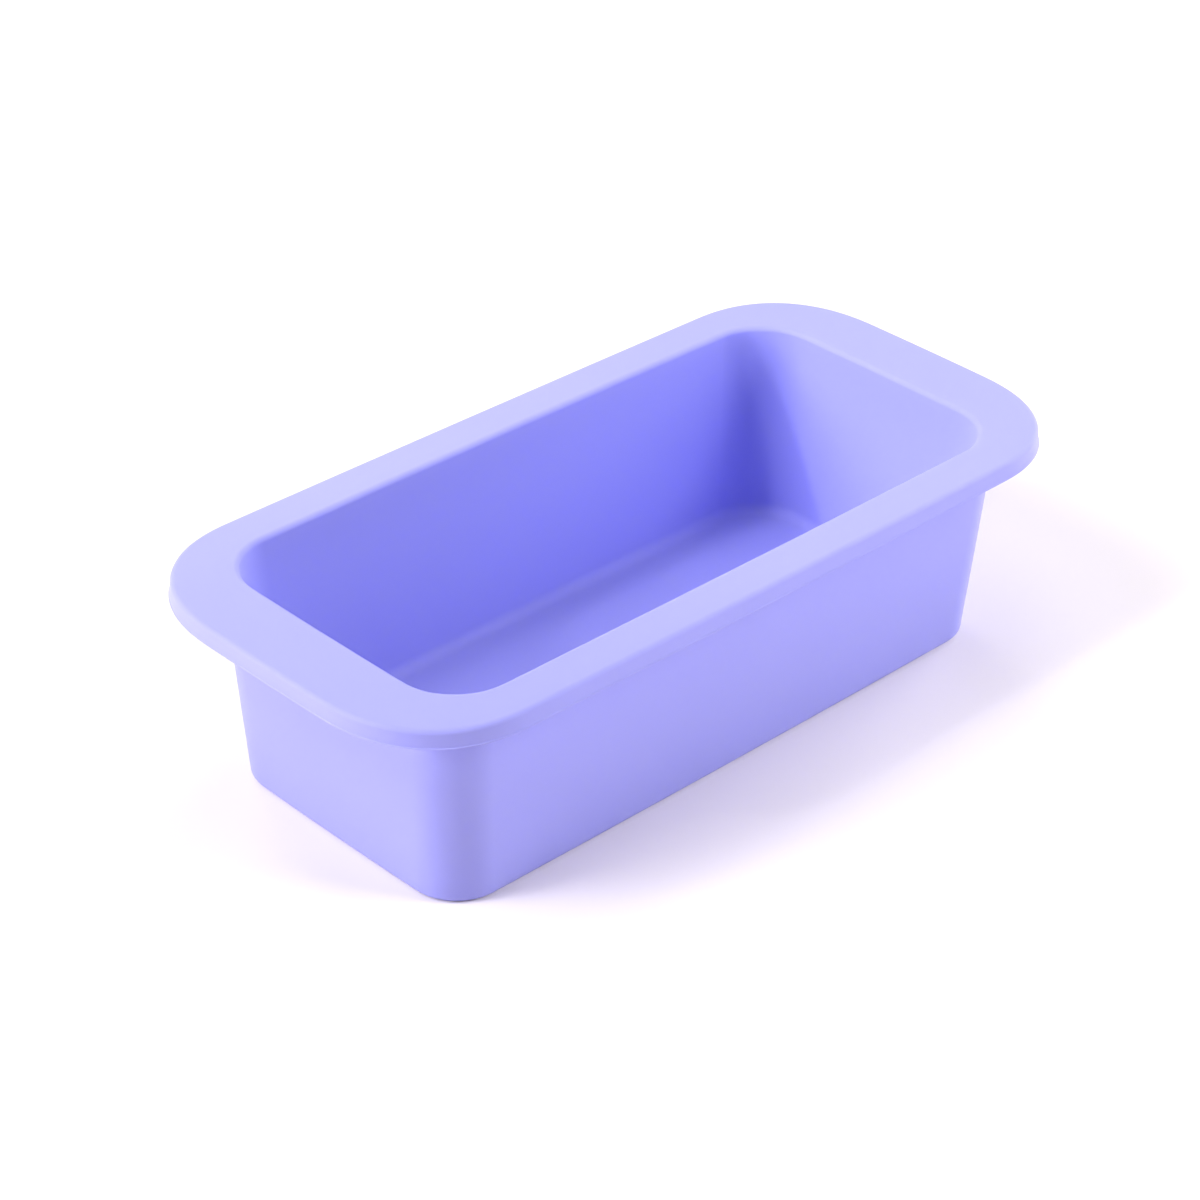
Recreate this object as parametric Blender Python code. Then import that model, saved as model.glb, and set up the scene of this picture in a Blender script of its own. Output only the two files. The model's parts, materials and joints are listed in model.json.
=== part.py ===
"""Silicone loaf mould for soap: a moulded body with a wide flat rim, and a steel wire ring inside the rim.

Units are metres and +Z is up. X runs along the mould, and the origin is the centre of the underside.
"""

from math import cos, pi, sin

import bmesh
import bpy
from mathutils import Matrix

MM = 0.001

# Overall size, which is the rim's in length and width
LENGTH = 250 * MM
WIDTH = 121.3 * MM
HEIGHT = 65.3 * MM

# Rim: a flat plate with large rounded corners, wider at the two ends than along the sides
END_RIM = 21.4 * MM  # from the cavity's mouth to the outer edge
SIDE_RIM = 13.7 * MM
RIM_THICKNESS = 5.3 * MM
RIM_CORNER_X = 36.4 * MM  # how far the corner curve runs along X
RIM_CORNER_Y = 39.5 * MM  # and along Y
RIM_FULLNESS = 2.35  # 2 makes the corner curve an ellipse, and more makes it squarer
RIM_END_BOW = 1.0 * MM  # how far the middle of an end stands out
RIM_SIDE_BOW = 0.55 * MM  # how far the middle of a side stands out
RIM_TOP_ROUND = 1.3 * MM
RIM_BOTTOM_ROUND = 0.6 * MM

# Cavity: the hollow that the soap is poured into, measured at its mouth
CAVITY_LENGTH = LENGTH - 2 * END_RIM
CAVITY_WIDTH = WIDTH - 2 * SIDE_RIM
CAVITY_CORNER = 16.9 * MM
CAVITY_BOW = 0.45 * MM  # how far the middle of each wall stands out
CAVITY_LIP_ROUND = 1.5 * MM
CAVITY_FLOOR_ROUND = 3.5 * MM

# Tub: the leaning walls and the floor round the cavity
WALL = 2.6 * MM  # just under the rim
FLOOR = 5.2 * MM
DRAFT = 3.7 * MM  # how far each wall leans in from the rim's underside to the table
TUB_CORNER = 14.2 * MM
TUB_BOTTOM_ROUND = 2.0 * MM
UNDER_RIM_ROUND = 1.0 * MM

# Wire ring moulded into the rim, and the holes of the pins that hold it during moulding
WIRE_RADIUS = 1.25 * MM
WIRE_CLEARANCE = 0.3 * MM  # gap between the wire and the silicone round it
WIRE_INSET = 6.5 * MM  # from the rim's outer edge to the wire's centre
PIN_HOLE_RADIUS = 1.0 * MM
PIN_HOLES_ON_SIDE = 3
PIN_HOLE_MARGIN = 23.6 * MM  # from the start of the rim's corner curve to the first hole

# Fineness of the faceted shapes
CORNER_STEPS = 10
SIDE_STEPS = 6
END_STEPS = 4
ROUND_STEPS = 4
HOLE_SIDES = 16
WIRE_FINENESS = 2

SILICONE = (0.38, 0.37, 0.90, 1.0)
STEEL = (0.60, 0.60, 0.62, 1.0)


def clear_scene():
    for old in list(bpy.data.objects):
        bpy.data.objects.remove(old, do_unlink=True)


def new_collection(name):
    made = bpy.data.collections.new(name)
    bpy.context.scene.collection.children.link(made)
    return made


def new_material(name, colour, roughness, metallic):
    made = bpy.data.materials.new(name)
    made.use_nodes = True
    shader = made.node_tree.nodes["Principled BSDF"]
    shader.inputs["Base Color"].default_value = colour
    shader.inputs["Roughness"].default_value = roughness
    shader.inputs["Metallic"].default_value = metallic
    return made


def bowed(x, y, length, width, end_bow, side_bow):
    """Moves a point of a straight-sided outline so that its ends and sides curve gently outwards."""
    return (
        x * (1 - 2 * end_bow / length * (2 * y / width) ** 2),
        y * (1 - 2 * side_bow / width * (2 * x / length) ** 2),
    )


def quarter(length, width, corner_x, corner_y, fullness):
    """Points of the +X +Y quarter, from the middle of the end round the corner to the middle of the side."""
    centre_x = length / 2 - corner_x
    centre_y = width / 2 - corner_y
    points = [(length / 2, centre_y * i / END_STEPS) for i in range(END_STEPS)]
    for i in range(CORNER_STEPS + 1):
        angle = pi / 2 * i / CORNER_STEPS
        along_x = max(cos(angle), 0) ** (2 / fullness)
        along_y = sin(angle) ** (2 / fullness)
        points.append((centre_x + corner_x * along_x, centre_y + corner_y * along_y))
    points += [(centre_x * (1 - i / SIDE_STEPS), width / 2) for i in range(1, SIDE_STEPS + 1)]
    return points


def outline(length, width, corner_x, corner_y, fullness=2, end_bow=0, side_bow=0):
    """Points round a rounded rectangle, anticlockwise seen from above."""
    first = quarter(length, width, corner_x, corner_y, fullness)
    left = [(-x, y) for x, y in reversed(first)][1:]
    half = first + left
    other_half = [(-x, -y) for x, y in half][1:-1]
    return [bowed(x, y, length, width, end_bow, side_bow) for x, y in half + other_half]


def at_height(points, z):
    return [(x, y, z) for x, y in points]


def lean(depth):
    """How far a wall has leant in at this depth below the rim's underside."""
    return DRAFT * depth / (HEIGHT - RIM_THICKNESS)


def rim_outline(inset):
    return outline(
        LENGTH - 2 * inset,
        WIDTH - 2 * inset,
        RIM_CORNER_X - inset,
        RIM_CORNER_Y - inset,
        RIM_FULLNESS,
        RIM_END_BOW,
        RIM_SIDE_BOW,
    )


def wall_section(z, inwards, corner):
    """Section at height z, parallel to the cavity's mouth and moved in from it."""
    length = CAVITY_LENGTH - 2 * inwards
    width = CAVITY_WIDTH - 2 * inwards
    points = outline(length, width, corner, corner, 2, CAVITY_BOW, CAVITY_BOW)
    return at_height(points, z)


def tub_section(z, inset):
    """Outline of the tub's outer face at height z, moved in by inset."""
    inwards = lean(HEIGHT - RIM_THICKNESS - z) - WALL + inset
    return wall_section(z, inwards, TUB_CORNER - inset)


def cavity_section(z, outset):
    """Outline of the cavity's wall at height z, moved out by outset."""
    inwards = lean(HEIGHT - z) - outset
    return wall_section(z, inwards, CAVITY_CORNER + outset)


def quarter_turn():
    """Pairs (1 - cosine, 1 - sine) of angles from 0 to a right angle, for rounded edges."""
    angles = [pi / 2 * i / ROUND_STEPS for i in range(ROUND_STEPS + 1)]
    return [(1 - cos(angle), 1 - sin(angle)) for angle in angles]


def outer_sections():
    """Sections up the outside, from the underside to the rim's underside."""
    under_rim = HEIGHT - RIM_THICKNESS
    bottom_edge = [
        tub_section(TUB_BOTTOM_ROUND * down, TUB_BOTTOM_ROUND * aside)
        for aside, down in reversed(quarter_turn())
    ]
    rim_joint = [
        tub_section(under_rim - UNDER_RIM_ROUND * down, -UNDER_RIM_ROUND * aside)
        for aside, down in quarter_turn()
    ]
    return bottom_edge + rim_joint


def rim_sections():
    """Sections round the rim's outer edge, from its underside to its top."""
    under_rim = HEIGHT - RIM_THICKNESS
    lower = [
        at_height(rim_outline(RIM_BOTTOM_ROUND * aside), under_rim + RIM_BOTTOM_ROUND * down)
        for aside, down in reversed(quarter_turn())
    ]
    upper = [
        at_height(rim_outline(RIM_TOP_ROUND * aside), HEIGHT - RIM_TOP_ROUND * down)
        for aside, down in quarter_turn()
    ]
    return lower + upper


def cavity_sections():
    """Sections down the inside, from the lip to the floor."""
    lip = [
        cavity_section(HEIGHT - CAVITY_LIP_ROUND * down, CAVITY_LIP_ROUND * aside)
        for aside, down in reversed(quarter_turn())
    ]
    floor_edge = [
        cavity_section(FLOOR + CAVITY_FLOOR_ROUND * down, -CAVITY_FLOOR_ROUND * aside)
        for aside, down in quarter_turn()
    ]
    return lip + floor_edge


def loft(name, sections):
    """Closed mesh through sections with the same number of points, capped flat at both ends."""
    work = bmesh.new()
    rings = [[work.verts.new(point) for point in section] for section in sections]
    count = len(rings[0])
    for lower, upper in zip(rings, rings[1:]):
        for i in range(count):
            after = (i + 1) % count
            work.faces.new((lower[i], lower[after], upper[after], upper[i]))
    work.faces.new(list(reversed(rings[0])))
    work.faces.new(rings[-1])
    made = bpy.data.meshes.new(name)
    work.to_mesh(made)
    work.free()
    made.shade_smooth()
    made.set_sharp_from_angle(angle=pi / 6)
    return made


def wire_height():
    return HEIGHT - RIM_THICKNESS / 2


def ring_curve(name, radius):
    """Closed round tube that follows the rim's edge, at the wire's place."""
    curve = bpy.data.curves.new(name, "CURVE")
    curve.dimensions = "3D"
    curve.bevel_depth = radius
    curve.bevel_resolution = WIRE_FINENESS
    points = rim_outline(WIRE_INSET)
    spline = curve.splines.new("POLY")
    spline.points.add(len(points) - 1)
    for point, (x, y) in zip(spline.points, points):
        point.co = (x, y, 0, 1)
    spline.use_cyclic_u = True
    made = bpy.data.objects.new(name, curve)
    made.location.z = wire_height()
    return made


def ring_cutter(cutters):
    """Mesh of the channel round the wire."""
    curve = ring_curve("wire_channel", WIRE_RADIUS + WIRE_CLEARANCE)
    cutters.objects.link(curve)
    bpy.context.view_layer.update()
    graph = bpy.context.evaluated_depsgraph_get()
    mesh = bpy.data.meshes.new_from_object(curve.evaluated_get(graph))
    made = bpy.data.objects.new("wire_channel_cutter", mesh)
    made.matrix_world = curve.matrix_world
    bpy.data.objects.remove(curve)
    return made


def pin_hole_places():
    """Middles of the pin holes: a row along each side and one at each end."""
    half_length = LENGTH / 2 - WIRE_INSET
    half_width = WIDTH / 2 - WIRE_INSET
    furthest = LENGTH / 2 - RIM_CORNER_X - PIN_HOLE_MARGIN
    straight = [(half_length, 0), (-half_length, 0)]
    for i in range(PIN_HOLES_ON_SIDE):
        x = furthest * (2 * i / (PIN_HOLES_ON_SIDE - 1) - 1)
        straight += [(x, half_width), (x, -half_width)]
    return [
        bowed(x, y, 2 * half_length, 2 * half_width, RIM_END_BOW, RIM_SIDE_BOW) for x, y in straight
    ]


def pin_hole_cutter():
    """Upright pins that reach from below the rim to the middle of the wire's channel."""
    past_rim = WIRE_RADIUS
    reach = RIM_THICKNESS / 2 + past_rim
    work = bmesh.new()
    for x, y in pin_hole_places():
        bmesh.ops.create_cone(
            work,
            cap_ends=True,
            segments=HOLE_SIDES,
            radius1=PIN_HOLE_RADIUS,
            radius2=PIN_HOLE_RADIUS,
            depth=reach,
            matrix=Matrix.Translation((x, y, wire_height() - reach / 2)),
        )
    mesh = bpy.data.meshes.new("pin_hole_cutter")
    work.to_mesh(mesh)
    work.free()
    return bpy.data.objects.new("pin_hole_cutter", mesh)


def cut(target, cutter, cutters):
    cutters.objects.link(cutter)
    cutter.hide_render = True
    cutter.display_type = "WIRE"
    made = target.modifiers.new(cutter.name, "BOOLEAN")
    made.operation = "DIFFERENCE"
    made.object = cutter


def make_body(parts, cutters):
    mesh = loft("mould_body", outer_sections() + rim_sections() + cavity_sections())
    mesh.materials.append(new_material("silicone", SILICONE, 0.5, 0.0))
    body = bpy.data.objects.new("mould_body", mesh)
    parts.objects.link(body)
    cut(body, ring_cutter(cutters), cutters)
    cut(body, pin_hole_cutter(), cutters)
    return body


def make_wire(parts):
    wire = ring_curve("rim_wire", WIRE_RADIUS)
    wire.data.materials.append(new_material("steel_wire", STEEL, 0.3, 1.0))
    parts.objects.link(wire)
    return wire


def main():
    clear_scene()
    parts = new_collection("soap_mould")
    cutters = new_collection("cutters")
    centre = bpy.data.objects.new("mould_centre", None)
    parts.objects.link(centre)
    for piece in (make_body(parts, cutters), make_wire(parts)):
        piece.parent = centre


main()
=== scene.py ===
import json
from math import cos, pi, radians, sin

import bpy
from mathutils import Matrix, Vector

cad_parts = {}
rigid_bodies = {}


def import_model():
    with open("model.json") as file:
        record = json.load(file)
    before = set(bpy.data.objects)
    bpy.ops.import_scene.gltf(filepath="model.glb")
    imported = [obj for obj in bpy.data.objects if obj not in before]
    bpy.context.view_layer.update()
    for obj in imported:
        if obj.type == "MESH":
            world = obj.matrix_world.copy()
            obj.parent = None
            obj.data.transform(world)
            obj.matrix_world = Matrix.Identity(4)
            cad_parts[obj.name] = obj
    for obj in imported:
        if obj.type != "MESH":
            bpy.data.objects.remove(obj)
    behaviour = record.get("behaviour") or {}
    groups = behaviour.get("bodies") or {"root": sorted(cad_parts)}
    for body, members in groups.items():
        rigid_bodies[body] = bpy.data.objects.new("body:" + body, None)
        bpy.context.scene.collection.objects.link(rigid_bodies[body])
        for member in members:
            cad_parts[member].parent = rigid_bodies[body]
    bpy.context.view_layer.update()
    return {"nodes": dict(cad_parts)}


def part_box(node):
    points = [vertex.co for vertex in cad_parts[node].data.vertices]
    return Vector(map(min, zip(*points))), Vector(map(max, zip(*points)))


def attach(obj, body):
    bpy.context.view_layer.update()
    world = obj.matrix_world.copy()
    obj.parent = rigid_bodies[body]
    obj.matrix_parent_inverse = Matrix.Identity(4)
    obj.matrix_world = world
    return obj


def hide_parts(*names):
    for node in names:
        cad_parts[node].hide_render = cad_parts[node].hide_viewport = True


# Silicone loaf mould for soap: the moulded body, and the steel wire ring inside its rim.
# Metres, +Z up, X along the mould, and the origin under the middle of it.

mm = 0.001

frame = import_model()
scene = bpy.context.scene
bodyLow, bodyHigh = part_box("mould_body")
wireLow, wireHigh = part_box("rim_wire")
print("frame loaded:", ", ".join(sorted(frame["nodes"])))


# Helpers for node trees: a value is either a number or another node's output

def feed(tree, socket, value):
    if isinstance(value, bpy.types.NodeSocket):
        tree.links.new(value, socket)
    else:
        socket.default_value = value


def feedAll(tree, node, values):
    for label, value in values.items():
        feed(tree, node.inputs[label], value)


def addNode(tree, kind, values=None, **settings):
    node = tree.nodes.new(kind)
    for setting, choice in settings.items():
        setattr(node, setting, choice)
    feedAll(tree, node, values or {})
    return node


def calc(tree, operation, *values):
    node = addNode(tree, "ShaderNodeMath", operation=operation)
    for socket, value in zip(node.inputs, values):
        feed(tree, socket, value)
    return node.outputs[0]


def choose(tree, flag, whenFalse, whenTrue):
    values = {"Switch": flag, "False": whenFalse, "True": whenTrue}
    return addNode(tree, "GeometryNodeSwitch", values, input_type="FLOAT").outputs[0]


def clamped(tree, value):
    return addNode(tree, "ShaderNodeClamp", {"Value": value}).outputs[0]


def newTree(name, inputs, result="Geometry", resultKind="NodeSocketGeometry"):
    tree = bpy.data.node_groups.new(name, "GeometryNodeTree")
    for label, kind in inputs:
        tree.interface.new_socket(label, in_out="INPUT", socket_type=kind)
    tree.interface.new_socket(result, in_out="OUTPUT", socket_type=resultKind)
    return tree, tree.nodes.new("NodeGroupInput").outputs, tree.nodes.new("NodeGroupOutput").inputs


def finishTree(tree, geometry, material, end):
    # the last two nodes of every tree here
    real = addNode(tree, "GeometryNodeRealizeInstances", {"Geometry": geometry})
    values = {"Geometry": real.outputs[0], "Material": material}
    feed(tree, end[0], addNode(tree, "GeometryNodeSetMaterial", values).outputs[0])


def growMesh(name, startMesh, tree, inputs):
    # runs a tree on a start mesh and keeps the result as a plain mesh
    piece = bpy.data.objects.new(name, startMesh)
    scene.collection.objects.link(piece)
    grower = piece.modifiers.new("grow", "NODES")
    grower.node_group = tree
    for item in tree.interface.items_tree:
        if item.in_out == "INPUT" and item.name in inputs:
            grower[item.identifier] = inputs[item.name]
    return keepResult(piece)


def keepResult(piece):
    graph = bpy.context.evaluated_depsgraph_get()
    mesh = bpy.data.meshes.new_from_object(piece.evaluated_get(graph))
    piece.modifiers.clear()
    piece.data = mesh
    mesh.name = piece.name
    return piece


# The outline that every level of the mould shares: a rounded rectangle with bowed sides

outlineInputs = [
    "Turn", "Length", "Width", "Corner X", "Corner Y", "Fullness", "End bow", "Side bow",
    "End share", "Corner share",
]


def outlineTree():
    floats = [(label, "NodeSocketFloat") for label in outlineInputs]
    tree, given, end = newTree("roundedOutline", floats, "Point", "NodeSocketVector")
    length, width = given["Length"], given["Width"]
    cornerX, cornerY = given["Corner X"], given["Corner Y"]

    # which quarter a point is in, and how far along it, from the middle of an end to that of a side
    quarters = calc(tree, "MULTIPLY", given["Turn"], 4)
    number = calc(tree, "FLOOR", quarters)
    within = calc(tree, "SUBTRACT", quarters, number)
    backwards = calc(tree, "MODULO", number, 2)
    mirrored = calc(tree, "MULTIPLY_ADD", within, -2, 1)
    along = calc(tree, "MULTIPLY_ADD", backwards, mirrored, within)
    onRight = calc(tree, "GREATER_THAN", calc(tree, "ABSOLUTE", calc(tree, "SUBTRACT", number, 1.5)), 1)
    onLeft = calc(tree, "LESS_THAN", number, 1.5)
    signX = calc(tree, "MULTIPLY_ADD", onRight, 2, -1)
    signY = calc(tree, "MULTIPLY_ADD", onLeft, 2, -1)

    # straight end, corner curve, straight side
    endPart = clamped(tree, calc(tree, "DIVIDE", along, given["End share"]))
    afterEnd = calc(tree, "SUBTRACT", along, given["End share"])
    cornerPart = clamped(tree, calc(tree, "DIVIDE", afterEnd, given["Corner share"]))
    afterCorner = calc(tree, "SUBTRACT", afterEnd, given["Corner share"])
    bothShares = calc(tree, "ADD", given["End share"], given["Corner share"])
    sideShare = calc(tree, "SUBTRACT", 1, bothShares)
    sidePart = clamped(tree, calc(tree, "DIVIDE", afterCorner, sideShare))
    angle = calc(tree, "MULTIPLY", cornerPart, pi / 2)
    power = calc(tree, "DIVIDE", 2, given["Fullness"])
    cornerAlongX = calc(tree, "POWER", calc(tree, "MAXIMUM", calc(tree, "COSINE", angle), 0), power)
    cornerAlongY = calc(tree, "POWER", calc(tree, "MAXIMUM", calc(tree, "SINE", angle), 0), power)
    centreX = calc(tree, "SUBTRACT", calc(tree, "MULTIPLY", length, 0.5), cornerX)
    centreY = calc(tree, "SUBTRACT", calc(tree, "MULTIPLY", width, 0.5), cornerY)
    straightX = calc(tree, "MULTIPLY", centreX, calc(tree, "SUBTRACT", 1, sidePart))
    x = calc(tree, "MULTIPLY_ADD", cornerX, cornerAlongX, straightX)
    y = calc(tree, "MULTIPLY_ADD", cornerY, cornerAlongY, calc(tree, "MULTIPLY", centreY, endPart))

    # ends and sides stand out a little in their middles
    shareX = calc(tree, "DIVIDE", calc(tree, "MULTIPLY", x, 2), length)
    shareY = calc(tree, "DIVIDE", calc(tree, "MULTIPLY", y, 2), width)
    endPull = calc(tree, "DIVIDE", calc(tree, "MULTIPLY", given["End bow"], -2), length)
    sidePull = calc(tree, "DIVIDE", calc(tree, "MULTIPLY", given["Side bow"], -2), width)
    scaleX = calc(tree, "MULTIPLY_ADD", endPull, calc(tree, "MULTIPLY", shareY, shareY), 1)
    scaleY = calc(tree, "MULTIPLY_ADD", sidePull, calc(tree, "MULTIPLY", shareX, shareX), 1)
    point = addNode(tree, "ShaderNodeCombineXYZ", {
        "X": calc(tree, "MULTIPLY", calc(tree, "MULTIPLY", x, scaleX), signX),
        "Y": calc(tree, "MULTIPLY", calc(tree, "MULTIPLY", y, scaleY), signY),
    })
    feed(tree, end[0], point.outputs[0])
    return tree


outlineGroup = outlineTree()


def turnOfPosition(tree):
    # how far round the Z axis a point is, from 0 to 1
    position = addNode(tree, "GeometryNodeInputPosition").outputs[0]
    split = addNode(tree, "ShaderNodeSeparateXYZ", {"Vector": position}).outputs
    angle = calc(tree, "DIVIDE", calc(tree, "ARCTAN2", split["Y"], split["X"]), 2 * pi)
    return calc(tree, "FRACT", calc(tree, "ADD", angle, 1)), split["Z"]


# Body: one silicone moulding

body = {
    "endRim": 21.4 * mm,  # rim width at the two ends, and along the sides
    "sideRim": 13.7 * mm,
    "rimThickness": 5.3 * mm,
    "rimCornerX": 36.4 * mm,
    "rimCornerY": 39.5 * mm,
    "rimFullness": 2.35,
    "rimEndBow": 1.0 * mm,
    "rimSideBow": 0.55 * mm,
    "rimTopRound": 1.3 * mm,
    "rimBottomRound": 0.35 * mm,
    "rimSideLean": 0.3 * mm,  # how far the rim's side leans in towards its top, to leave its tool
    "partingBead": 0.22 * mm,  # fine raised line left by the tool round the rim's lower edge
    "beadRise": 1.5,  # height of the bead's curve, and where the plain side starts, in bead depths
    "beadFoot": 2.5,
    "beadSteps": 4,
    "mouthCorner": 16.9 * mm,
    "mouthBow": 0.45 * mm,
    "lipRound": 1.5 * mm,
    "floorRound": 3.5 * mm,
    "wall": 2.6 * mm,
    "floor": 5.2 * mm,
    "draft": 3.7 * mm,
    "tubCorner": 14.2 * mm,
    "bottomRound": 2.0 * mm,
    "underRimRound": 1.0 * mm,
    "wireGap": 0.3 * mm,
    "pinHoleRadius": 1.0 * mm,
    "pinHolesOnSide": 3,
    "pinHoleMargin": 23.6 * mm,
    "pinSides": 32,
    "channelSides": 24,
    "endSteps": 10,  # fineness round a quarter of the outline, of a rounded edge, wall and flat end
    "cornerSteps": 44,
    "sideSteps": 18,
    "roundSteps": 8,
    "wallSteps": 16,
    "flatSteps": 6,
    "flatReach": 34 * mm,  # how far the rings of a flat end go towards its middle
    "flatSpread": 1.5,  # more draws the rings closer to the flat end's edge
    "flatCorner": 3 * mm,  # least corner radius of those rings
    "edgeMargin": 0.4 * mm,  # flat strip beside a rounded edge, which keeps its shading crisp
    "sharpAngle": 40,  # edges that turn by more than this many degrees are shaded sharp
}
length = bodyHigh.x - bodyLow.x
width = bodyHigh.y - bodyLow.y
height = bodyHigh.z
underRim = height - body["rimThickness"]
quarterSteps = body["endSteps"] + body["cornerSteps"] + body["sideSteps"]
roundInputs = {
    "Steps round": 4 * quarterSteps,
    "End share": body["endSteps"] / quarterSteps,
    "Corner share": body["cornerSteps"] / quarterSteps,
}


def roundSteps(steps):
    # pairs (1 - cosine, 1 - sine) of angles from 0 to a right angle
    angles = [pi / 2 * i / steps for i in range(steps + 1)]
    return [(1 - cos(angle), 1 - sin(angle)) for angle in angles]


def tubLevel(z, inset):
    inwards = body["draft"] * (underRim - z) / underRim - body["wall"] + inset
    return (inwards, z, body["tubCorner"] - inset, 0)


def cavityLevel(z, outset):
    inwards = body["draft"] * (height - z) / underRim - outset
    return (inwards, z, body["mouthCorner"] + outset, 0)


def rimLevel(z, inset):
    return (inset, z, 0, 1)


def flatLevels(level):
    # rings that close a flat end towards its middle, closest together at its edge
    inwards, z, corner, onRim = level
    made = []
    for i in range(1, body["flatSteps"] + 1):
        moved = body["flatReach"] * (i / body["flatSteps"]) ** body["flatSpread"]
        made.append((inwards + moved, z, max(corner - moved, body["flatCorner"]), onRim))
    return made


def between(first, last):
    # heights of the rings of a wall, its two ends left out
    return [first + (last - first) * i / body["wallSteps"] for i in range(1, body["wallSteps"])]


def bodyLevels():
    # the body's section from the middle of the underside, up the outside, over the rim and down inside
    turn = roundSteps(body["roundSteps"])
    up, out = list(reversed(turn)), turn
    margin = body["edgeMargin"]

    # tub: underside, bottom edge, outer wall, and the hollow curve into the rim's underside
    r = body["bottomRound"]
    bottom = [tubLevel(r * down, r * aside) for aside, down in up]
    levels = list(reversed(flatLevels(bottom[0]))) + bottom
    wallTop = underRim - body["underRimRound"]
    levels += [tubLevel(z, 0) for z in between(r, wallTop)]
    r = body["underRimRound"]
    levels += [tubLevel(underRim - r * down, -r * aside) for aside, down in out]
    levels.append(tubLevel(underRim, -r - margin))

    # rim: underside, lower edge with its parting line, leaning side, upper edge, top
    r = body["rimBottomRound"]
    levels.append(rimLevel(underRim, r + margin))
    levels += [rimLevel(underRim + r * down, r * aside) for aside, down in up]
    bead, crest = body["partingBead"], underRim + r
    for i in range(1, body["beadSteps"] + 1):
        share = i / body["beadSteps"]
        rise = bead * body["beadRise"] * share
        levels.append(rimLevel(crest + rise, bead * (1 - cos(pi * share)) / 2))
    levels.append(rimLevel(crest + body["beadFoot"] * bead, bead))
    r, lean = body["rimTopRound"], bead + body["rimSideLean"]
    levels.append(rimLevel(height - r - margin, lean))
    levels += [rimLevel(height - r * down, lean + r * aside) for aside, down in out]
    levels.append(rimLevel(height, lean + r + margin))

    # cavity: lip, inner wall, rounded edge of the floor, floor
    r = body["lipRound"]
    levels.append(cavityLevel(height, r + margin))
    levels += [cavityLevel(height - r * down, r * aside) for aside, down in up]
    levels += [cavityLevel(z, 0) for z in between(height - r, body["floor"] + body["floorRound"])]
    r = body["floorRound"]
    floorEdge = [cavityLevel(body["floor"] + r * down, -r * aside) for aside, down in out]
    return levels + floorEdge + flatLevels(floorEdge[-1])


def levelsMesh(levels):
    # one point for each level, which the tree reads its size from
    mesh = bpy.data.meshes.new("levels")
    mesh.from_pydata([(0, 0, z) for inwards, z, corner, onRim in levels], [], [])
    for column, label in ((0, "inwards"), (2, "corner"), (3, "onRim")):
        attribute = mesh.attributes.new(label, "FLOAT", "POINT")
        attribute.data.foreach_set("value", [level[column] for level in levels])
    return mesh


def bodyTree(levelCount):
    sizes = ["Rim length", "Rim width", "Rim corner X", "Rim corner Y", "Rim fullness",
             "Rim end bow", "Rim side bow", "Mouth length", "Mouth width", "Mouth bow"]
    inputs = [("Geometry", "NodeSocketGeometry")] + [(label, "NodeSocketFloat") for label in sizes]
    inputs += [("End share", "NodeSocketFloat"), ("Corner share", "NodeSocketFloat"),
               ("Steps round", "NodeSocketInt"), ("Material", "NodeSocketMaterial")]
    tree, given, end = newTree("loftedBody", inputs)

    # a plain tube, one ring of points for each level
    tube = addNode(tree, "GeometryNodeMeshCylinder", {
        "Vertices": given["Steps round"], "Side Segments": levelCount - 1, "Radius": 1.0, "Depth": 1.0,
    }, fill_type="NGON")
    turn, tall = turnOfPosition(tree)
    ring = calc(tree, "ROUND", calc(tree, "MULTIPLY", calc(tree, "ADD", tall, 0.5), levelCount - 1))

    def levelValue(kind, value):
        sample = addNode(tree, "GeometryNodeSampleIndex", data_type=kind, domain="POINT")
        feed(tree, sample.inputs["Geometry"], given["Geometry"])
        feed(tree, sample.inputs["Value"], value)
        feed(tree, sample.inputs["Index"], ring)
        return sample.outputs[0]

    def named(label):
        values = {"Name": label}
        return addNode(tree, "GeometryNodeInputNamedAttribute", values, data_type="FLOAT").outputs[0]

    inwards = levelValue("FLOAT", named("inwards"))
    corner = levelValue("FLOAT", named("corner"))
    onRim = calc(tree, "GREATER_THAN", levelValue("FLOAT", named("onRim")), 0.5)
    place = levelValue("FLOAT_VECTOR", addNode(tree, "GeometryNodeInputPosition").outputs[0])

    def shrunk(label):
        return calc(tree, "MULTIPLY_ADD", inwards, -2, given[label])

    outline = addNode(tree, "GeometryNodeGroup", node_tree=outlineGroup)
    chosen = {
        "Turn": turn,
        "Length": choose(tree, onRim, shrunk("Mouth length"), shrunk("Rim length")),
        "Width": choose(tree, onRim, shrunk("Mouth width"), shrunk("Rim width")),
        "Corner X": choose(tree, onRim, corner, calc(tree, "SUBTRACT", given["Rim corner X"], inwards)),
        "Corner Y": choose(tree, onRim, corner, calc(tree, "SUBTRACT", given["Rim corner Y"], inwards)),
        "Fullness": choose(tree, onRim, 2.0, given["Rim fullness"]),
        "End bow": choose(tree, onRim, given["Mouth bow"], given["Rim end bow"]),
        "Side bow": choose(tree, onRim, given["Mouth bow"], given["Rim side bow"]),
        "End share": given["End share"],
        "Corner share": given["Corner share"],
    }
    for label, value in chosen.items():
        feed(tree, outline.inputs[label], value)
    point = addNode(tree, "ShaderNodeVectorMath", {0: outline.outputs[0], 1: place}, operation="ADD")
    moved = addNode(tree, "GeometryNodeSetPosition", {"Geometry": tube.outputs["Mesh"]})
    feed(tree, moved.inputs["Position"], point.outputs[0])
    smooth = addNode(tree, "GeometryNodeSetShadeSmooth", {"Geometry": moved.outputs[0]})
    finishTree(tree, smooth.outputs[0], given["Material"], end)
    return tree


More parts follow.
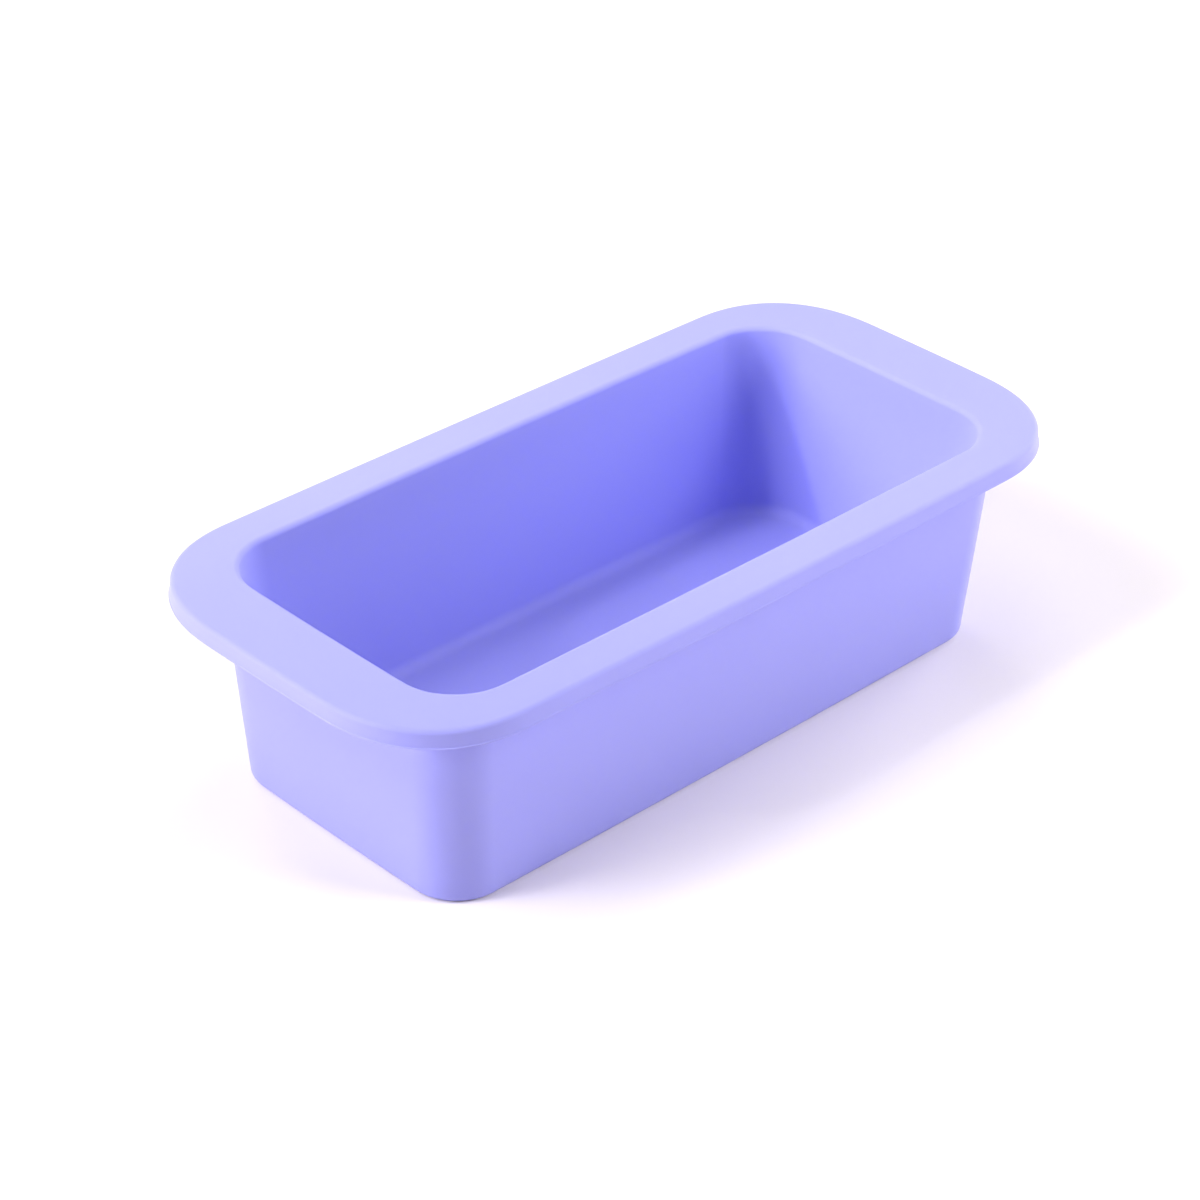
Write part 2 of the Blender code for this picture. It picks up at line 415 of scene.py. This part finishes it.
def rimSizes(inset):
    return {
        "Length": length - 2 * inset,
        "Width": width - 2 * inset,
        "Corner X": body["rimCornerX"] - inset,
        "Corner Y": body["rimCornerY"] - inset,
        "Fullness": body["rimFullness"],
        "End bow": body["rimEndBow"],
        "Side bow": body["rimSideBow"],
    }


def sweptRingTree():
    # a round tube swept along an outline
    labels = [label for label in outlineInputs if label != "Turn"] + ["Height", "Tube radius"]
    inputs = [("Geometry", "NodeSocketGeometry")] + [(label, "NodeSocketFloat") for label in labels]
    inputs += [("Steps round", "NodeSocketInt"), ("Tube sides", "NodeSocketInt"),
               ("Material", "NodeSocketMaterial")]
    tree, given, end = newTree("sweptRing", inputs)
    loop = addNode(tree, "GeometryNodeMeshCircle", {"Vertices": given["Steps round"], "Radius": 1.0})
    turn, tall = turnOfPosition(tree)
    outline = addNode(tree, "GeometryNodeGroup", node_tree=outlineGroup)
    feed(tree, outline.inputs["Turn"], turn)
    for label in outlineInputs[1:]:
        feed(tree, outline.inputs[label], given[label])
    raised = addNode(tree, "ShaderNodeCombineXYZ", {"Z": given["Height"]})
    point = addNode(tree, "ShaderNodeVectorMath", {0: outline.outputs[0], 1: raised.outputs[0]},
                    operation="ADD")
    moved = addNode(tree, "GeometryNodeSetPosition", {"Geometry": loop.outputs[0]})
    feed(tree, moved.inputs["Position"], point.outputs[0])
    path = addNode(tree, "GeometryNodeMeshToCurve", {"Mesh": moved.outputs[0]})
    profile = addNode(tree, "GeometryNodeCurvePrimitiveCircle", {
        "Resolution": given["Tube sides"], "Radius": given["Tube radius"],
    })
    swept = addNode(tree, "GeometryNodeCurveToMesh", {
        "Curve": path.outputs[0], "Profile Curve": profile.outputs[0],
    })
    smooth = addNode(tree, "GeometryNodeSetShadeSmooth", {"Geometry": swept.outputs[0]})
    finishTree(tree, smooth.outputs[0], given["Material"], end)
    return tree


ringTree = sweptRingTree()


wireRadius = (wireHigh.z - wireLow.z) / 2
wireLevel = (wireHigh.z + wireLow.z) / 2
wireInset = bodyHigh.x - wireHigh.x + wireRadius  # from the rim's edge to the wire's middle


def ring(name, radius, sides, material):
    inputs = {
        **rimSizes(wireInset),
        **roundInputs,
        "Height": wireLevel,
        "Tube radius": radius,
        "Tube sides": sides,
        "Material": material,
    }
    return growMesh(name, bpy.data.meshes.new(name), ringTree, inputs)


def pinTree():
    # one upright pin on each point
    inputs = [("Geometry", "NodeSocketGeometry"), ("Pin radius", "NodeSocketFloat"),
              ("Pin length", "NodeSocketFloat"), ("Pin sides", "NodeSocketInt"),
              ("Material", "NodeSocketMaterial")]
    tree, given, end = newTree("pinRows", inputs)
    pin = addNode(tree, "GeometryNodeMeshCylinder", {
        "Vertices": given["Pin sides"], "Radius": given["Pin radius"], "Depth": given["Pin length"],
    }, fill_type="NGON")
    placed = addNode(tree, "GeometryNodeInstanceOnPoints", {
        "Points": given["Geometry"], "Instance": pin.outputs["Mesh"],
    })
    finishTree(tree, placed.outputs[0], given["Material"], end)
    return tree


def pinPlaces(z):
    halfLength = length / 2 - wireInset
    halfWidth = width / 2 - wireInset
    furthest = length / 2 - body["rimCornerX"] - body["pinHoleMargin"]
    places = [(halfLength, 0, z), (-halfLength, 0, z)]
    for i in range(body["pinHolesOnSide"]):
        x = furthest * (2 * i / (body["pinHolesOnSide"] - 1) - 1)
        y = halfWidth - body["rimSideBow"] * (x / halfLength) ** 2
        places += [(x, y, z), (x, -y, z)]
    return places


def cutWith(piece, cutters):
    for cutter in cutters:
        cut = piece.modifiers.new(cutter.name, "BOOLEAN")
        cut.operation = "DIFFERENCE"
        cut.object = cutter
    keepResult(piece)
    for cutter in cutters:
        bpy.data.objects.remove(cutter)


def makeBody(material):
    levels = bodyLevels()
    inputs = {
        **roundInputs,
        "Rim length": length,
        "Rim width": width,
        "Rim corner X": body["rimCornerX"],
        "Rim corner Y": body["rimCornerY"],
        "Rim fullness": body["rimFullness"],
        "Rim end bow": body["rimEndBow"],
        "Rim side bow": body["rimSideBow"],
        "Mouth length": length - 2 * body["endRim"],
        "Mouth width": width - 2 * body["sideRim"],
        "Mouth bow": body["mouthBow"],
        "Material": material,
    }
    piece = growMesh("mouldBody", levelsMesh(levels), bodyTree(len(levels)), inputs)
    channel = ring("wireChannel", wireRadius + body["wireGap"], body["channelSides"], material)
    pinLength = wireLevel - underRim + wireRadius
    startMesh = bpy.data.meshes.new("pinPlaces")
    startMesh.from_pydata(pinPlaces(wireLevel - pinLength / 2), [], [])
    pins = growMesh("pinHoles", startMesh, pinTree(), {
        "Pin radius": body["pinHoleRadius"],
        "Pin length": pinLength,
        "Pin sides": body["pinSides"],
        "Material": material,
    })
    cutWith(piece, [channel, pins])
    piece.data.set_sharp_from_angle(angle=radians(body["sharpAngle"]))
    print("body:", len(piece.data.polygons), "faces")
    return piece


# Materials

silicone = {
    "colour": (0.339, 0.341, 0.80),
    "colourDeep": (0.329, 0.331, 0.79),
    "roughness": (0.52, 0.60),
    "specular": 0.3,
    "ior": 1.41,
    "sheen": 0.05,
    "sheenRoughness": 0.4,
    "subsurface": 0.2,
    "subsurfaceRadius": (0.6, 0.6, 1.0),
    "subsurfaceScale": 3 * mm,
    "cloudScale": 22.0,  # slow change of colour and gloss
    "cloudDetail": 3.0,
    "swellScale": 30.0,  # unevenness of the moulded walls, and how deep it is
    "swellDetail": 1.0,
    "swellDepth": 0.2 * mm,
    "swellStrength": 0.25,
    "grainScale": 2600.0,  # fine grain of the mould tool, and how deep it is
    "grainDetail": 2.0,
    "grainDepth": 0.02 * mm,
    "grainStrength": 0.3,
}


def newMaterial(name):
    material = bpy.data.materials.new(name)
    material.use_nodes = True
    return material, material.node_tree, material.node_tree.nodes["Principled BSDF"]


def noise(tree, scale, detail):
    place = addNode(tree, "ShaderNodeTexCoord").outputs["Object"]
    values = {"Vector": place, "Scale": scale, "Detail": detail}
    return addNode(tree, "ShaderNodeTexNoise", values).outputs[0]


def blend(tree, share, first, second):
    mixed = addNode(tree, "ShaderNodeMix", data_type="RGBA")
    for socket, value in ((0, share), (6, (*first, 1)), (7, (*second, 1))):
        feed(tree, mixed.inputs[socket], value)
    return mixed.outputs[2]


def rangeOf(tree, value, low, high):
    values = {"Value": value, "To Min": low, "To Max": high}
    return addNode(tree, "ShaderNodeMapRange", values).outputs[0]


def bump(tree, pattern, strength, depth, under=None):
    values = {"Height": pattern, "Strength": strength, "Distance": depth}
    if under is not None:
        values["Normal"] = under
    return addNode(tree, "ShaderNodeBump", values).outputs[0]


def siliconeMaterial():
    material, tree, shader = newMaterial("periwinkleSilicone")
    cloud = noise(tree, silicone["cloudScale"], silicone["cloudDetail"])
    grain = noise(tree, silicone["grainScale"], silicone["grainDetail"])
    swell = noise(tree, silicone["swellScale"], silicone["swellDetail"])
    soft = bump(tree, swell, silicone["swellStrength"], silicone["swellDepth"])
    fine = bump(tree, grain, silicone["grainStrength"], silicone["grainDepth"], soft)
    feedAll(tree, shader, {
        "Base Color": blend(tree, cloud, silicone["colourDeep"], silicone["colour"]),
        "Roughness": rangeOf(tree, cloud, *silicone["roughness"]),
        "Normal": fine,
        "IOR": silicone["ior"],
        "Specular IOR Level": silicone["specular"],
        "Subsurface Weight": silicone["subsurface"],
        "Subsurface Radius": silicone["subsurfaceRadius"],
        "Subsurface Scale": silicone["subsurfaceScale"],
        "Sheen Weight": silicone["sheen"],
        "Sheen Roughness": silicone["sheenRoughness"],
    })
    return material


steel = {
    "colour": (0.62, 0.61, 0.60),
    "colourDark": (0.42, 0.42, 0.44),
    "roughness": (0.22, 0.42),
    "streakScale": 900.0,
    "streakDetail": 3.0,
    "streakDepth": 0.02 * mm,
    "streakStrength": 0.3,
    "sides": 24,
}


def steelMaterial():
    material, tree, shader = newMaterial("drawnSteel")
    streaks = noise(tree, steel["streakScale"], steel["streakDetail"])
    feedAll(tree, shader, {
        "Base Color": blend(tree, streaks, steel["colourDark"], steel["colour"]),
        "Roughness": rangeOf(tree, streaks, *steel["roughness"]),
        "Normal": bump(tree, streaks, steel["streakStrength"], steel["streakDepth"]),
        "Metallic": 1.0,
    })
    return material


mouldBody = makeBody(siliconeMaterial())
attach(mouldBody, "root")
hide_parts("mould_body")

rimWire = ring("rimWire", wireRadius, steel["sides"], steelMaterial())
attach(rimWire, "root")
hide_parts("rim_wire")
print("wire ring:", len(rimWire.data.polygons), "faces")


# Camera, floor and light

view = {
    "azimuth": -44.18,  # degrees round the mould from the -Y side
    "elevation": 32.05,
    "roll": 0.94,
    "lens": 99.02,
    "sensor": 36,
    "originAside": 5.12 * mm,  # where the origin lies from the camera's axis, and along it
    "originUp": -26.39 * mm,
    "distance": 926.29 * mm,
}


def placeCamera():
    turn, rise, roll = (radians(view[key]) for key in ("azimuth", "elevation", "roll"))
    forward = Vector((-sin(turn) * cos(rise), cos(turn) * cos(rise), -sin(rise)))
    aside = forward.cross(Vector((0, 0, 1))).normalized()
    upward = aside.cross(forward)
    right = aside * cos(roll) + upward * sin(roll)
    up = upward * cos(roll) - aside * sin(roll)
    place = -(right * view["originAside"] + up * view["originUp"] + forward * view["distance"])
    camera = bpy.data.objects.new("camera", bpy.data.cameras.new("camera"))
    camera.data.lens = view["lens"]
    camera.data.sensor_width = view["sensor"]
    axes = Matrix((right, up, -forward)).transposed()
    camera.matrix_world = Matrix.Translation(place) @ axes.to_4x4()
    scene.collection.objects.link(camera)
    scene.camera = camera


floorValues = {
    "halfSide": 3.0,
    "colour": (0.92, 0.86, 0.87),
    "roughness": 0.9,
    "glowFrom": 0.45,  # past this distance the floor turns evenly pale, as a lit sweep does
    "glowTo": 1.1,
}


def makeFloor():
    half = floorValues["halfSide"]
    mesh = bpy.data.meshes.new("floor")
    corners = [(-half, -half, 0), (half, -half, 0), (half, half, 0), (-half, half, 0)]
    mesh.from_pydata(corners, [], [(0, 1, 2, 3)])
    floor = bpy.data.objects.new("floor", mesh)
    material, tree, shader = newMaterial("paleFloor")
    place = addNode(tree, "ShaderNodeTexCoord").outputs["Object"]
    away = addNode(tree, "ShaderNodeVectorMath", {0: place}, operation="LENGTH").outputs["Value"]
    glow = addNode(tree, "ShaderNodeMapRange", {
        "Value": away, "From Min": floorValues["glowFrom"], "From Max": floorValues["glowTo"],
    }, interpolation_type="SMOOTHSTEP")
    feedAll(tree, shader, {
        "Base Color": (*floorValues["colour"], 1),
        "Roughness": floorValues["roughness"],
        "Emission Color": (1, 1, 1, 1),
        "Emission Strength": glow.outputs[0],
    })
    mesh.materials.append(material)
    scene.collection.objects.link(floor)


# The powers of the panels and spots come from a least squares fit, and weren't picked by hand
panels = {
    # direction round the mould and height in degrees, distance, side of the panel, power in watts
    "leftLow": (248, 20, 1.3, 0.45, 12.0),
    "leftHigh": (245, 50, 1.3, 0.45, 8.8),
    "rightWide": (45, 17, 1.4, 0.80, 6.1),
    "farWide": (90, 17, 1.4, 0.80, 11.4),
    "rightLow": (30, 22, 1.3, 0.45, 2.1),
    "rightKey": (30, 38, 1.3, 0.45, 6.4),
    "back": (160, 25, 1.3, 0.60, 5.2),
    "overhead": (180, 88, 1.3, 0.70, 3.8),
}
spots = {
    # direction and height in degrees, power in watts: both point at the inner face of the far end
    "endSpot": (262, 30, 109.5),
    "endSpotHigh": (240, 42, 183.0),
}
spotValues = {
    "distance": 1.3,
    "cone": 5.0,
    "radius": 0.12,
    "blend": 1.0,
    "target": (bodyHigh.x - body["endRim"], 0, height * 0.55),
}


def placeLamp(data, target, turn, rise, distance):
    turn, rise = radians(turn), radians(rise)
    towards = Vector((sin(turn) * cos(rise), -cos(turn) * cos(rise), sin(rise)))
    lamp = bpy.data.objects.new(data.name, data)
    lamp.location = target + towards * distance
    lamp.rotation_euler = towards.to_track_quat("Z", "Y").to_euler()
    scene.collection.objects.link(lamp)


def placeLights():
    # the backdrop is white to look at, and the lamps alone light the mould
    world = bpy.data.worlds.new("studio")
    world.use_nodes = True
    backdrop = world.node_tree.nodes["Background"]
    backdrop.inputs["Color"].default_value = (1, 1, 1, 1)
    seen = addNode(world.node_tree, "ShaderNodeLightPath").outputs["Is Camera Ray"]
    feed(world.node_tree, backdrop.inputs["Strength"], seen)
    scene.world = world

    middle = Vector((0, 0, height / 2))
    for name, (turn, rise, distance, side, power) in panels.items():
        data = bpy.data.lights.new(name, "AREA")
        data.shape = "SQUARE"
        data.size = side
        data.energy = power
        placeLamp(data, middle, turn, rise, distance)
    for name, (turn, rise, power) in spots.items():
        data = bpy.data.lights.new(name, "SPOT")
        data.spot_size = radians(spotValues["cone"])
        data.spot_blend = spotValues["blend"]
        data.shadow_soft_size = spotValues["radius"]
        data.energy = power
        placeLamp(data, Vector(spotValues["target"]), turn, rise, spotValues["distance"])


placeCamera()
makeFloor()
placeLights()
scene.view_settings.view_transform = "Standard"
print("camera, floor and", len(panels) + len(spots), "lights")
